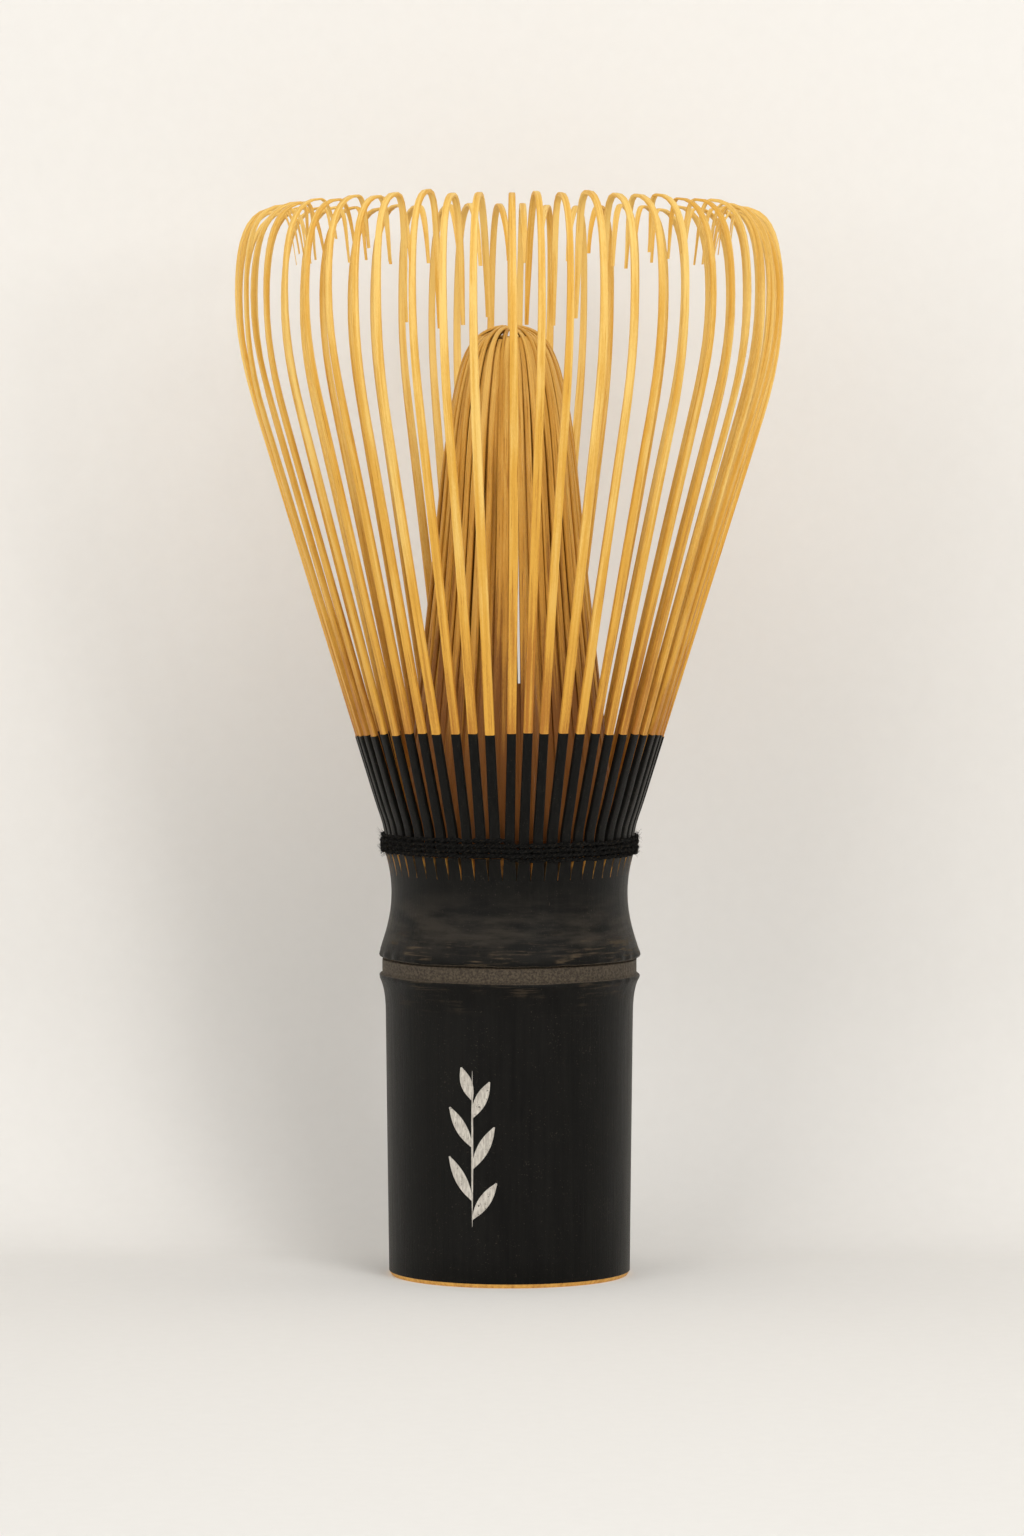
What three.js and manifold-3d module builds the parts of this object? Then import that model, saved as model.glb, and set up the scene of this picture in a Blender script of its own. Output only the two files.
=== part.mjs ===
// A bamboo tea whisk. One length of bamboo is the handle below its node ring, and is split above it
// into a ring of outer tines, whose ends curl inward, and a closed bundle of inner tines. A thread is
// woven between the two rings at their roots and wound around the outside.
// Millimetres, +Z up. The origin is the centre of the handle's cut foot, and the front faces -Y.

import * as THREE from 'three';
import { mergeVertices } from 'three/addons/utils/BufferGeometryUtils.js';
import Module from 'manifold-3d';

const wasm = await Module();
wasm.setup();

// Handle: outside radii, from the cut foot up, and the heights where they lie
const FOOT_RADIUS = 12.55;
const FOOT_CHAMFER = 0.3;
const GRIP_RADIUS = 13.0;
const GRIP_HEIGHT = 27.5;
const RIDGE_RADIUS = 13.65;
const RIDGE_HEIGHT = 31.3;
const RIDGE_BAND = 0.5;
const GROOVE_DEPTH = 0.3;
const GROOVE_WIDTH = 1.5;
const LIP_RADIUS = 13.6;
const LIP_BAND = 0.4;
const WAIST_RADIUS = 12.4;
const WAIST_HEIGHT = 40.2;
const SPLIT_RADIUS = 13.1;
const SPLIT_HEIGHT = 44.6;

// Handle: the two hollows and the wall that closes them at the node
const FOOT_BORE_RADIUS = 10.1;
const TOP_LEDGE = 0.35;
const NODE_WALL_HEIGHT = 30.9;
const NODE_WALL_THICKNESS = 1.6;

// The splits that run a little way down into the handle from its top
const SLIT_DEPTH = 2.4;
const SLIT_WIDTH = 0.45;
const CUT_PAST = 0.5;

// Outer tines: the middle line of one, in its own upright plane
const OUTER_TINE_COUNT = 54;
const OUTER_TINE_WIDTH = 0.7;
const OUTER_TINE_THICKNESS = 0.6;
const OUTER_TIP_THICKNESS = 0.45;
const OUTER_ROOT_RISE = 1.9;
const SHOULDER_RADIUS = 26.2;
const SHOULDER_RISE = 45.1;
const BELLY_RADIUS = 28.55;
const BELLY_RISE = 57.9;
const CROWN_RADIUS = 23.3;
const CROWN_RISE = 67.1;
const OUTER_TIP_RADIUS = 18.4;
const OUTER_TIP_RISE = 56.4;
const OUTER_TIP_LEAN = 0.15;

// Inner tines: the middle line of one, in its own upright plane
const INNER_GROUP_COUNT = 4;
const INNER_TINES_PER_GROUP = 13;
const INNER_TINE_WIDTH = 0.62;
const INNER_TINE_THICKNESS = 0.5;
const INNER_TINE_FILL = 0.78;
const INNER_LEAN = 0.09;
const INNER_ROOT_THICKNESS = 1.0;
const INNER_ROOT_RISE = 1.5;
const INNER_WAIST_RADIUS = 7.5;
const INNER_WAIST_RISE = 35.0;
const INNER_TIP_RADIUS = 2.3;
const INNER_TIP_RISE = 54.2;
const SHORT_TIP_RADIUS = 3.9;
const SHORT_TIP_RISE = 52.9;

// Thread: the turns wound outside, the ring woven inside and the passes that join them
const THREAD_TURNS = 3;
const THREAD_THICKNESS = 0.4;
const THREAD_PITCH = 0.5;
const TINES_PER_PASS = 3;
const PASS_WIDTH = 0.3;
const PASS_RISE = 0.4;

// Clearances between separate pieces
const SEAT_GAP = 0.3;
const WINDING_GAP = 0.2;

// Bends: how far the pull of each end reaches, as a share of the distance between the two ends
const GENTLE = 0.35;
const EARLY = 0.5;
const LATE = 0.15;

// How much the handle's outline leans outward for each step up, where a bend meets a ring
const RIDGE_LEAN = 0.85;
const LIP_LEAN = -0.25;
const SPLIT_LEAN = 0.3;

const HANDLE_SEGMENTS = 36;
const RING_SEGMENTS = 36;
const BEND_STEPS = 4;
const MERGE_DISTANCE = 1e-4;

const FULL_TURN = 2 * Math.PI;
const FRONT = -Math.PI / 2;

// Heights and radii that follow from the sizes above
const tineFoot = SPLIT_HEIGHT + SEAT_GAP;
const outerRootRadius = SPLIT_RADIUS - OUTER_TINE_THICKNESS / 2;
const outerPitch = FULL_TURN / OUTER_TINE_COUNT;
const groupAngle = FULL_TURN / INNER_GROUP_COUNT;
const innerPitch = groupAngle / INNER_TINES_PER_GROUP;
const weaveOutside = outerRootRadius - OUTER_TINE_THICKNESS / 2 - SEAT_GAP;
const weaveInside = weaveOutside - THREAD_THICKNESS;
const innerRootOutside = weaveInside - SEAT_GAP;
const innerRootInside = innerRootOutside - INNER_ROOT_THICKNESS;
const innerRootRadius = innerRootOutside - INNER_ROOT_THICKNESS / 2;
const topBoreRadius = innerRootInside - TOP_LEDGE;
const windingRise = THREAD_TURNS * THREAD_PITCH;
const flareLean = (SHOULDER_RADIUS - outerRootRadius) / (SHOULDER_RISE - OUTER_ROOT_RISE);
const flareAtWinding = flareLean * Math.max(windingRise - OUTER_ROOT_RISE, 0);
const windingInside = SPLIT_RADIUS + flareAtWinding + WINDING_GAP;

const bareBamboo = { color: 0xd9a648, roughness: 0.55, metalness: 0 };
const palerBamboo = { color: 0xcf9c4c, roughness: 0.6, metalness: 0 };
const darkBamboo = { color: 0x1d1c18, roughness: 0.42, metalness: 0 };
const darkThread = { color: 0x121211, roughness: 0.95, metalness: 0 };

const whisk = new THREE.Group();

function addPiece(name, geometry, look, turn = 0) {
  const mesh = new THREE.Mesh(geometry, new THREE.MeshStandardMaterial(look));
  mesh.name = name;
  mesh.rotation.z = turn;
  whisk.add(mesh);
}

// A closed geometry as a solid that can be joined and cut
function toSolid(geometry) {
  const bare = geometry.clone();
  bare.deleteAttribute('normal');
  bare.deleteAttribute('uv');
  const merged = mergeVertices(bare, MERGE_DISTANCE);
  const vertProperties = new Float32Array(merged.attributes.position.array);
  const triVerts = new Uint32Array(merged.index.array);
  return new wasm.Manifold(new wasm.Mesh({ numProp: 3, vertProperties, triVerts }));
}

function toGeometry(solid) {
  const mesh = solid.getMesh();
  const geometry = new THREE.BufferGeometry();
  geometry.setAttribute('position', new THREE.BufferAttribute(new Float32Array(mesh.vertProperties), 3));
  geometry.setIndex(new THREE.BufferAttribute(new Uint32Array(mesh.triVerts), 1));
  return geometry;
}

// A profile of [radius, height] turned about Z
function turned(points, segments) {
  const geometry = new THREE.LatheGeometry(points, segments);
  geometry.rotateX(Math.PI / 2);
  return geometry;
}

// A shape drawn as (radius, height), made as thick as `width` across its upright plane
function uprightStrip(shape, width) {
  const geometry = new THREE.ExtrudeGeometry(shape, { depth: width, bevelEnabled: false, steps: 1 });
  geometry.translate(0, 0, -width / 2);
  geometry.rotateX(Math.PI / 2);
  return geometry;
}

// The side view of a strip: its middle line with half of its thickness laid off to both sides
function stripShape(middle, rootThickness, tipThickness) {
  const outside = [];
  const inside = [];
  const last = middle.length - 1;
  middle.forEach((point, index) => {
    const before = middle[Math.max(index - 1, 0)];
    const after = middle[Math.min(index + 1, last)];
    const along = after.clone().sub(before).normalize();
    const half = THREE.MathUtils.lerp(rootThickness, tipThickness, index / last) / 2;
    const across = new THREE.Vector2(along.y, -along.x).multiplyScalar(half);
    outside.push(point.clone().add(across));
    inside.unshift(point.clone().sub(across));
  });
  return new THREE.Shape([...outside, ...inside]);
}

// The direction that rises by one and leans outward by `lean`
function leaning(lean) {
  return new THREE.Vector2(lean, 1).normalize();
}

// A smooth bend from where the path ends, leaving and arriving in the given directions
function bendTo(path, end, leave, arrive, leaveReach, arriveReach) {
  const start = path.currentPoint.clone();
  const distance = start.distanceTo(end);
  const first = start.clone().addScaledVector(leave, distance * leaveReach);
  const second = end.clone().addScaledVector(arrive, -distance * arriveReach);
  path.bezierCurveTo(first.x, first.y, second.x, second.y, end.x, end.y);
}

// Handle

function handleOutline() {
  const ridgeTop = RIDGE_HEIGHT + RIDGE_BAND;
  const lipBottom = ridgeTop + GROOVE_WIDTH;
  const lipTop = lipBottom + LIP_BAND;
  const grooveRadius = RIDGE_RADIUS - GROOVE_DEPTH;
  const outline = new THREE.Path();
  outline.moveTo(FOOT_RADIUS - FOOT_CHAMFER, 0);
  outline.lineTo(FOOT_RADIUS, FOOT_CHAMFER);
  outline.lineTo(GRIP_RADIUS, GRIP_HEIGHT);
  const ridge = new THREE.Vector2(RIDGE_RADIUS, RIDGE_HEIGHT);
  bendTo(outline, ridge, leaning(0), leaning(RIDGE_LEAN), EARLY, LATE);
  outline.lineTo(RIDGE_RADIUS, ridgeTop);
  outline.lineTo(grooveRadius, ridgeTop + GROOVE_DEPTH);
  outline.lineTo(grooveRadius, lipBottom - GROOVE_DEPTH / 2);
  outline.lineTo(LIP_RADIUS, lipBottom);
  outline.lineTo(LIP_RADIUS, lipTop);
  const waist = new THREE.Vector2(WAIST_RADIUS, WAIST_HEIGHT);
  bendTo(outline, waist, leaning(LIP_LEAN), leaning(0), GENTLE, EARLY);
  const split = new THREE.Vector2(SPLIT_RADIUS, SPLIT_HEIGHT);
  bendTo(outline, split, leaning(0), leaning(SPLIT_LEAN), GENTLE, GENTLE);
  return outline.getPoints(BEND_STEPS);
}

function handleGeometry() {
  const profile = [
    new THREE.Vector2(0, NODE_WALL_HEIGHT),
    new THREE.Vector2(FOOT_BORE_RADIUS, NODE_WALL_HEIGHT),
    new THREE.Vector2(FOOT_BORE_RADIUS, 0),
    ...handleOutline(),
    new THREE.Vector2(topBoreRadius, SPLIT_HEIGHT),
    new THREE.Vector2(topBoreRadius, NODE_WALL_HEIGHT + NODE_WALL_THICKNESS),
    new THREE.Vector2(0, NODE_WALL_HEIGHT + NODE_WALL_THICKNESS),
  ];
  return turned(profile, HANDLE_SEGMENTS);
}

// One split between two tines: a wedge that is widest at the handle's top and runs out below it
function slitWedge() {
  const topHalf = (SLIT_WIDTH / 2) * (1 + CUT_PAST / SLIT_DEPTH);
  const wedge = new THREE.Shape();
  wedge.moveTo(-topHalf, SPLIT_HEIGHT + CUT_PAST);
  wedge.lineTo(0, SPLIT_HEIGHT - SLIT_DEPTH);
  wedge.lineTo(topHalf, SPLIT_HEIGHT + CUT_PAST);
  const inside = topBoreRadius - CUT_PAST;
  const reach = SPLIT_RADIUS + CUT_PAST - inside;
  const geometry = new THREE.ExtrudeGeometry(wedge, { depth: reach, bevelEnabled: false, steps: 1 });
  geometry.translate(0, 0, inside);
  geometry.rotateX(Math.PI / 2);
  geometry.rotateZ(Math.PI / 2);
  return geometry;
}

function makeHandle() {
  let handle = toSolid(handleGeometry());
  for (let index = 0; index < OUTER_TINE_COUNT; index += 1) {
    const wedge = slitWedge();
    wedge.rotateZ(FRONT + (index + 0.5) * outerPitch);
    handle = handle.subtract(toSolid(wedge));
  }
  addPiece('handle_culm', toGeometry(handle), darkBamboo);
}

// Outer tines

// An upright root that the thread holds, a straight flare, a shoulder that turns upright again, and an
// end that curls inward and down
function outerMiddleLine() {
  const belly = new THREE.Vector2(BELLY_RADIUS, tineFoot + BELLY_RISE);
  const crown = new THREE.Vector2(CROWN_RADIUS, tineFoot + CROWN_RISE);
  const tip = new THREE.Vector2(OUTER_TIP_RADIUS, tineFoot + OUTER_TIP_RISE);
  const inward = new THREE.Vector2(-1, 0);
  const path = new THREE.Path();
  path.moveTo(outerRootRadius, tineFoot);
  path.lineTo(outerRootRadius, tineFoot + OUTER_ROOT_RISE);
  path.lineTo(SHOULDER_RADIUS, tineFoot + SHOULDER_RISE);
  bendTo(path, belly, leaning(flareLean), leaning(0), GENTLE, GENTLE);
  bendTo(path, crown, leaning(0), inward, EARLY, GENTLE);
  bendTo(path, tip, inward, leaning(OUTER_TIP_LEAN).negate(), LATE, EARLY);
  return path.getPoints(BEND_STEPS);
}

function makeOuterTines() {
  const side = stripShape(outerMiddleLine(), OUTER_TINE_THICKNESS, OUTER_TIP_THICKNESS);
  const tine = uprightStrip(side, OUTER_TINE_WIDTH);
  for (let index = 0; index < OUTER_TINE_COUNT; index += 1) {
    const number = String(index + 1).padStart(2, '0');
    addPiece(`outer_tine_${number}`, tine.clone(), bareBamboo, FRONT + index * outerPitch);
  }
}

// Inner tines

function innerMiddleLine(tipRadius, tipRise) {
  const waist = new THREE.Vector2(INNER_WAIST_RADIUS, tineFoot + INNER_WAIST_RISE);
  const tip = new THREE.Vector2(tipRadius, tineFoot + tipRise);
  const lean = leaning(-INNER_LEAN);
  const inward = new THREE.Vector2(-1, INNER_LEAN).normalize();
  const path = new THREE.Path();
  path.moveTo(innerRootRadius, tineFoot + INNER_ROOT_RISE / 2);
  bendTo(path, waist, lean, lean, GENTLE, GENTLE);
  bendTo(path, tip, lean, inward, EARLY, LATE);
  return path.getPoints(BEND_STEPS);
}

// A tine narrows towards the middle of the bundle, where it shares the room with all the others
function innerTineGeometry(tipRadius, tipRise) {
  const side = stripShape(innerMiddleLine(tipRadius, tipRise), INNER_TINE_THICKNESS, INNER_TINE_THICKNESS);
  const geometry = uprightStrip(side, INNER_TINE_WIDTH);
  const position = geometry.attributes.position;
  for (let index = 0; index < position.count; index += 1) {
    const room = Math.max(position.getX(index), 0) * innerPitch * INNER_TINE_FILL;
    const share = Math.min(room / INNER_TINE_WIDTH, 1);
    position.setY(index, position.getY(index) * share);
  }
  return geometry;
}

// The unsplit root that a group of inner tines stands on
function innerRootGeometry() {
  const trim = SEAT_GAP / 2 / innerRootInside;
  const start = trim;
  const end = groupAngle - trim;
  const arc = new THREE.Shape();
  arc.absarc(0, 0, innerRootOutside, start, end, false);
  arc.absarc(0, 0, innerRootInside, end, start, true);
  arc.closePath();
  const geometry = new THREE.ExtrudeGeometry(arc, {
    depth: INNER_ROOT_RISE, bevelEnabled: false, steps: 1, curveSegments: INNER_TINES_PER_GROUP,
  });
  geometry.translate(0, 0, tineFoot);
  return geometry;
}

function makeInnerTines() {
  const longTine = innerTineGeometry(INNER_TIP_RADIUS, INNER_TIP_RISE);
  const shortTine = innerTineGeometry(SHORT_TIP_RADIUS, SHORT_TIP_RISE);
  let group = toSolid(innerRootGeometry());
  for (let index = 0; index < INNER_TINES_PER_GROUP; index += 1) {
    const tine = (index % 2 ? shortTine : longTine).clone();
    tine.rotateZ((index + 0.5) * innerPitch);
    group = group.add(toSolid(tine));
  }
  const geometry = toGeometry(group);
  for (let index = 0; index < INNER_GROUP_COUNT; index += 1) {
    addPiece(`inner_tine_group_${index + 1}`, geometry.clone(), palerBamboo, FRONT + index * groupAngle);
  }
}

// Thread

function windingGeometry() {
  const rim = windingInside + THREAD_THICKNESS / 2;
  const profile = [new THREE.Vector2(windingInside, tineFoot - SEAT_GAP / 2)];
  for (let turn = 0; turn < THREAD_TURNS; turn += 1) {
    const foot = tineFoot - SEAT_GAP / 2 + turn * THREAD_PITCH;
    profile.push(new THREE.Vector2(rim, foot));
    profile.push(new THREE.Vector2(windingInside + THREAD_THICKNESS, foot + THREAD_PITCH / 2));
  }
  profile.push(new THREE.Vector2(rim, tineFoot - SEAT_GAP / 2 + windingRise));
  profile.push(new THREE.Vector2(windingInside, tineFoot - SEAT_GAP / 2 + windingRise));
  profile.push(profile[0].clone());
  return turned(profile, RING_SEGMENTS);
}

function weaveGeometry() {
  const foot = tineFoot + THREAD_PITCH / 4;
  const head = foot + THREAD_PITCH * 2;
  const profile = [
    new THREE.Vector2(weaveInside, foot),
    new THREE.Vector2(weaveOutside, foot),
    new THREE.Vector2(weaveOutside, head),
    new THREE.Vector2(weaveInside, head),
    new THREE.Vector2(weaveInside, foot),
  ];
  return turned(profile, RING_SEGMENTS);
}

// A stretch of thread that passes between two outer tines, from the ring inside to the turns outside
function passGeometry() {
  const inside = weaveOutside - THREAD_THICKNESS / 2;
  const reach = windingInside + THREAD_THICKNESS / 4 - inside;
  const geometry = new THREE.BoxGeometry(reach, PASS_WIDTH, PASS_RISE);
  geometry.translate(inside + reach / 2, 0, tineFoot + THREAD_PITCH);
  return geometry;
}

function makeThread() {
  let thread = toSolid(windingGeometry()).add(toSolid(weaveGeometry()));
  for (let index = 0; index < OUTER_TINE_COUNT; index += TINES_PER_PASS) {
    const pass = passGeometry();
    pass.rotateZ(FRONT + (index + 0.5) * outerPitch);
    thread = thread.add(toSolid(pass));
  }
  addPiece('binding_thread', toGeometry(thread), darkThread);
}

makeHandle();
makeOuterTines();
makeInnerTines();
makeThread();

export default whisk;
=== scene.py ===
# A bamboo tea whisk: a dark handle cut below a node ring, outer tines that flare and curl inward, a
# closed bundle of inner tines, and a black thread that binds them. Sizes are in millimetres until a
# piece is finished, and metres after that. +Z is up and the front faces -Y.
import math
import random

import bmesh
import bpy
from mathutils import Matrix, Vector, noise
from mathutils.geometry import interpolate_bezier


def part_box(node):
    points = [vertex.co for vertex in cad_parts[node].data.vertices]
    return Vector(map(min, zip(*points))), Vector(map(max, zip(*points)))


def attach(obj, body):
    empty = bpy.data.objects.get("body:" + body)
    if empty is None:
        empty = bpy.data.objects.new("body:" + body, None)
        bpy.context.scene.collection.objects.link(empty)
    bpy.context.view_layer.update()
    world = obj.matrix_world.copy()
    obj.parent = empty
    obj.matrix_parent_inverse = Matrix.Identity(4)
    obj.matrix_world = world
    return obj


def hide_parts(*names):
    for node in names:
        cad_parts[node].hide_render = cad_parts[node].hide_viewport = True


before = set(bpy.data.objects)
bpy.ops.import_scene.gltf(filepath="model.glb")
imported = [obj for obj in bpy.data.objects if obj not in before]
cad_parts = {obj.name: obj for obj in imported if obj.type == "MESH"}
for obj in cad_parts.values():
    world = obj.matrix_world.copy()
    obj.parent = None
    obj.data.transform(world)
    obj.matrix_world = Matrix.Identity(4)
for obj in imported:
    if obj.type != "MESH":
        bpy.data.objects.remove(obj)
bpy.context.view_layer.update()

MM = 0.001
PER_METRE = 1000.0
FULL_TURN = 2 * math.pi
FRONT = -math.pi / 2
OUTER_SEED = 100
INNER_SEED = 500
NAP_SEED = 900

# Heights and radii that the frame gives
handle_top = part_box("handle_culm")[1].z / MM
first_tine_low, first_tine_high = (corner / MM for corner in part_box("outer_tine_01"))
crown_top = first_tine_high.z
belly_outside = -first_tine_low.y

OUTER_TINES = [name for name in sorted(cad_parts) if name.startswith("outer_tine")]
INNER_GROUPS = [name for name in sorted(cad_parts) if name.startswith("inner_tine")]
tine_pitch = FULL_TURN / len(OUTER_TINES)
group_angle = FULL_TURN / len(INNER_GROUPS)

# Handle: outside radii and the heights where they lie
FOOT_RADIUS = 12.7
FOOT_RIM = 0.42
FOOT_RIM_INSET = 0.25
GRIP_RADIUS = 13.0
GRIP_HEIGHT = 27.5
RIDGE_RADIUS = 13.65
RIDGE_HEIGHT = 31.3
GROOVE_RADIUS = 13.36
GROOVE_FOOT = 31.8
GROOVE_HEAD = 33.45
NOTCH_DEPTH = 0.4
LIP_RADIUS = 13.68
LIP_HEIGHT = 33.75
WAIST_RADIUS = 12.4
WAIST_HEIGHT = 40.2
SPLIT_RADIUS = 13.1
FOOT_BORE = 10.1
TOP_BORE = 10.15
NODE_WALL_LOW = 30.9
NODE_WALL_HIGH = 32.5
NODE_WALL_DOME = 0.8

# Unevenness of a grown and hand-trimmed culm
UNEVENNESS = 0.07
SWELL_SCALE = 0.09
RAGGED_SCALE = 0.75
WAVY_SCALE = 0.12
LENGTHWISE_STRETCH = 0.35
EDGE_REACH = 0.6
LIP_RAGGED = 0.22
LIP_BURR = 0.16
LIP_WAVE = 0.3
RIDGE_EDGE_RISE = 0.2
RIDGE_RAGGED = 0.12
RIDGE_WAVE = 0.22
SKIN_LEAST_RADIUS = 12.16
CULM_START = Vector((11.9, 27.2, 18.5))

# Painted sprig on the handle: a stem, and leaves as (height on the stem, length, lean in degrees)
SPRIG_ACROSS = -3.9
SPRIG_FOOT = 6.4
SPRIG_HEAD = 22.6
STEM_WIDTH = 0.2
LEAF_WIDTH = 1.25
LEAVES = [(9.0, 4.6, 34), (11.2, 5.2, -30), (14.4, 5.0, 28), (16.6, 4.8, -32), (19.4, 4.2, 26),
          (21.0, 3.6, -20)]
PAINT_LIFT = 0.02
PAINT_THICKNESS = 0.05

# Slits between the tines, where they run down into the handle
SLIT_DEPTH = 2.3
SLIT_BACK = 12.05
SLIT_LEVELS = 4
SLIT_TOP_SHARE = 0.85
SLIT_FOOT_SHARE = 0.15
SLIT_EDGE_SPAN = 0.3
COLUMNS_PER_TINE = 4

first_column = FRONT - tine_pitch * (COLUMNS_PER_TINE - 1) / COLUMNS_PER_TINE / 2
slit_foot = handle_top - SLIT_DEPTH

# Outer tines
TINE_FOOT = 44.67
ROOT_RADIUS = 12.8
FLARE_START = 46.6
FLARE_END = 50.0
SKIN_EDGE = 56.7
SKIN_STEP = 0.07
SHAVED = 0.07
SKIN_REACH = -0.3
SHOULDER = Vector((26.2, 90.0))
BELLY_HEIGHT = 102.8
CROWN_RADIUS = 23.9
CROWN_SIDE_DROP = 0.3
CROWN_FRONT_RISE = 1.15
BACK_LEAN = 1.6
FRONT_TIP_HEIGHTS = [(0.0, 99.4), (0.45, 99.8), (0.6, 106.8), (1.0, 106.8)]
BACK_TIP_HEIGHT = 106.8
TIP_RADII = [(0.0, 16.6), (0.12, 16.6), (0.26, 19.8), (0.5, 22.2), (1.0, 22.2)]
SKIN_FRONT_RISE = 1.1
ROOT_WIDTH = 1.06
SKIN_EDGE_WIDTH = 0.96
MIDDLE_WIDTH = 0.92
CROWN_WIDTH = 0.68
TIP_WIDTH = 0.42
ROOT_THICKNESS = 0.6
CROWN_THICKNESS = 0.5
TIP_THICKNESS = 0.14
STRIP_ROUNDING = 0.2
OUTER_WIDTHS = [(0.0, ROOT_WIDTH), (0.15, SKIN_EDGE_WIDTH), (0.5, MIDDLE_WIDTH), (0.8, CROWN_WIDTH),
                (0.92, CROWN_WIDTH), (1.0, TIP_WIDTH)]
OUTER_THICKNESSES = [(0.0, ROOT_THICKNESS), (0.85, CROWN_THICKNESS), (1.0, TIP_THICKNESS)]

# How much hand-split outer tines differ, as spreads of (radius, height) or of one size
SHOULDER_SPREAD = (0.12, 0.2)
BELLY_SPREAD = (0.28, 0.3)
CROWN_SPREAD = (0.3, 0.12)
TIP_SPREAD = (0.3, 0.6)
SKIN_SPREAD = 0.07
SLIM_SPREAD = 0.035
STRAY_SPREAD = 0.24
SWAY_SPREAD = 0.2

# Inner tines
INNER_PER_GROUP = 13
INNER_ROOT = Vector((11.0, 45.6))
INNER_WAIST = Vector((7.6, 79.5))
INNER_SHOULDER = Vector((5.3, 94.6))
INNER_APEX = Vector((0.7, 99.4))
INNER_ROOT_WIDTH = 1.02
INNER_WIDTH = 0.64
INNER_THICKNESS = 0.42
INNER_THICKNESS_SHARES = [(0.0, 1.1), (1.0, 0.7)]
INNER_ROUNDING = 0.22
INNER_TIP_WIDTH = 0.35
INNER_END_WIDTH = 0.5
INNER_SLIM_SPREAD = 0.05
INNER_STRAY_SPREAD = 0.12
BACK_LAYER_DEPTH = 0.75
BACK_LAYER_REACH = (0.3, 0.6)
BACK_PLACE_SPREAD = 0.1
FRONT_PLACE_SPREAD = 0.06
FRONT_SHORT_REACH = 0.55
FRONT_LAYER_DEPTH = 0.12
INNER_ROOT_RING = (10.5, 11.5, 44.7, 46.4)
ROOT_RING_TRIM = 0.15

inner_pitch = group_angle / INNER_PER_GROUP

# See-through slits in the bundle: the strips under them stop short, and are wide
SLIT_PLACES = (1, INNER_PER_GROUP - 1)
SLIT_FOOT_LEFT = 80.0
SLIT_FOOT_RIGHT = 62.0
SLIT_FOOT_FRONT_RISE = 0.8
SLIT_STRIP_WIDTH = 1.15

# Thread
THREAD_TURNS = 4
THREAD_PITCH = 0.54
THREAD_FOOT = 44.44
THREAD_RADIUS = 13.27
PLY_RADIUS = 0.16
PLY_TWIST = 1.3
PLY_SIDES = 6
RINGS_PER_TURN = 380
SAG = 0.12
SLACK = 0.13
ROUNDING = 0.2
PLY_OFFSET = 0.75
SLACK_SCALE = 0.9
WEAVE_RADIUS = 12.05
WEAVE_LIFT = 0.6
WEAVE_RISE = 0.3
TINES_PER_PASS = 3
PASS_LIFT = 0.75
PASS_ARCH = 0.35

# Nap of the thread: mostly short hairs, with a few long ones
FUZZ_FIBRES = 3000
HAIR_RADIUS = 0.024
HAIR_TAPER = 0.7
HAIR_OUTWARD = 0.7
SHORT_HAIR = (0.15, 0.45)
LONG_HAIR = (0.45, 0.9)
SHORT_HAIR_SHARE = 0.85
HAIR_CURL = 0.8

# Colours
OUTER_DEEP = (0.40, 0.155, 0.016, 1)
OUTER_GOLD = (0.71, 0.375, 0.05, 1)
OUTER_PALE = (0.87, 0.59, 0.17, 1)
# The inner strips' colours are darker than the outer ones: painted shade for the strips that stand
# inside the outer tines
INNER_DEEP = (0.22, 0.08, 0.009, 1)
INNER_GOLD = (0.58, 0.285, 0.036, 1)
INNER_PALE = (0.78, 0.47, 0.11, 1)
CUT_DEEP = (0.38, 0.15, 0.02, 1)
CUT_GOLD = (0.74, 0.40, 0.08, 1)
# Near-black painted shade for the cut walls down in the slits
PAINTED_SLIT_SHADE = (0.012, 0.009, 0.006, 1)
SKIN_DARKEST = (0.0016, 0.0016, 0.0014, 1)
SKIN_BLACK = (0.006, 0.0058, 0.0048, 1)
# A painted sheen: a lighter brown-black for the soft highlight on the waist
PAINTED_WAIST_SHEEN = (0.026, 0.022, 0.017, 1)
SKIN_DUST = (0.04, 0.033, 0.024, 1)
RUBBED_BROWN = (0.085, 0.062, 0.038, 1)
SCAR_DARK = (0.022, 0.015, 0.008, 1)
SCAR_PALE = (0.068, 0.049, 0.028, 1)
SCAR_SPECK = (0.012, 0.01, 0.008, 1)
THREAD_DARKEST = (0.002, 0.002, 0.002, 1)
THREAD_BLACK = (0.011, 0.0105, 0.0095, 1)
THREAD_LINT = (0.05, 0.038, 0.022, 1)
PAINT_DARK = (0.36, 0.33, 0.29, 1)
PAINT_PALE = (0.62, 0.59, 0.53, 1)
PAINT_WORN = (0.06, 0.055, 0.045, 1)
PAPER_LOW = (0.77, 0.762, 0.745, 1)
PAPER_HIGH = (0.80, 0.792, 0.775, 1)

# Camera, in metres
CAMERA_PLACE = (0.00026, -0.7, 0.092)
CAMERA_AIM = (0.00026, 0.0, 0.0533)
LENS = 156.5

# Stage, in metres: a bowl whose wall comes close behind the whisk, inside a wider one
BOWL_RADIUS = 1.4
BOWL_WALL_BEHIND = 0.042
BOWL_WALL_CURVE = 0.028
BOWL_WALL_HEIGHT = 0.7
ROOM_RADIUS = 2.6
ROOM_WALL_CURVE = 0.6
ROOM_WALL_HEIGHT = 1.3
ROOM_DROP = 0.0003


# ---------------------------------------------------------------- curves and cross sections

def leaning(lean):
    return Vector((lean, 1.0)).normalized()


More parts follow.
